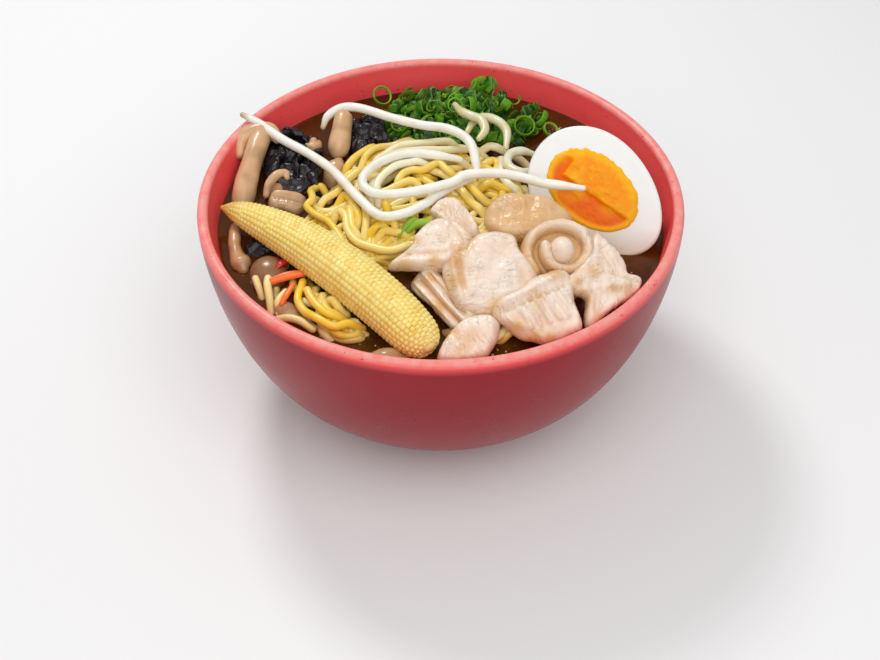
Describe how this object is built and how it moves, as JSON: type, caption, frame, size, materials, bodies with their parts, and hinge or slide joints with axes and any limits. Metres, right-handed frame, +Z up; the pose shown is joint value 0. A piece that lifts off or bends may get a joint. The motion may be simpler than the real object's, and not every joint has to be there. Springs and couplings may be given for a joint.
{
  "type": "ramen bowl",
  "caption": "A round stoneware bowl of ramen: noodles in soy broth under sliced chicken, a halved egg, baby corn, mushrooms, bean sprouts and scallions.",
  "frame": {"origin": "middle of the foot ring's flat underside", "axes": "+Z up out of the bowl; -Y is the side where the sliced chicken lies, +X the side where the egg leans"},
  "size_m": [0.19, 0.19, 0.1142],
  "materials": {
    "glaze": "satin coral glaze with fine dark specks",
    "broth": "clear brown soy broth, wet gloss",
    "noodle": "boiled yellow noodle, wet",
    "scallion": "fresh cut scallion",
    "egg_white": "boiled egg white, smooth",
    "egg_yolk": "soft yolk, glossy",
    "corn": "young corn kernels",
    "chicken": "poached meat, fibrous and moist",
    "sprout": "pale and crisp",
    "carrot": "cooked carrot",
    "mushroom": "slick cooked mushroom",
    "wood_ear": "dark, rubbery and wet"
  },
  "bodies": {
    "root": {"bowl": "glaze", "broth": "broth", "noodles": "noodle", "scallions": "scallion", "egg_white": "egg_white", "egg_yolk": "egg_yolk", "baby_corn": "corn", "chicken_rolled": "chicken", "chicken_centre": "chicken", "chicken_right": "chicken", "chicken_front": "chicken", "chicken_left": "chicken", "chicken_back": "chicken", "chicken_leaf": "chicken", "chicken_small": "chicken", "chicken_fold": "chicken", "sprout_left": "sprout", "sprout_middle": "sprout", "sprout_back": "sprout", "sprout_curl": "sprout", "sprout_arch": "sprout", "sprout_loop": "sprout", "carrot_long": "carrot", "carrot_short": "carrot", "mushroom_tall": "mushroom", "mushroom_upright": "mushroom", "mushroom_stub": "mushroom", "mushroom_button": "mushroom", "mushroom_stem": "mushroom", "mushroom_cap": "mushroom", "mushroom_sliced": "mushroom", "wood_ear_large": "wood_ear", "wood_ear_back": "wood_ear", "wood_ear_small": "wood_ear"}
  },
  "joints": []
}
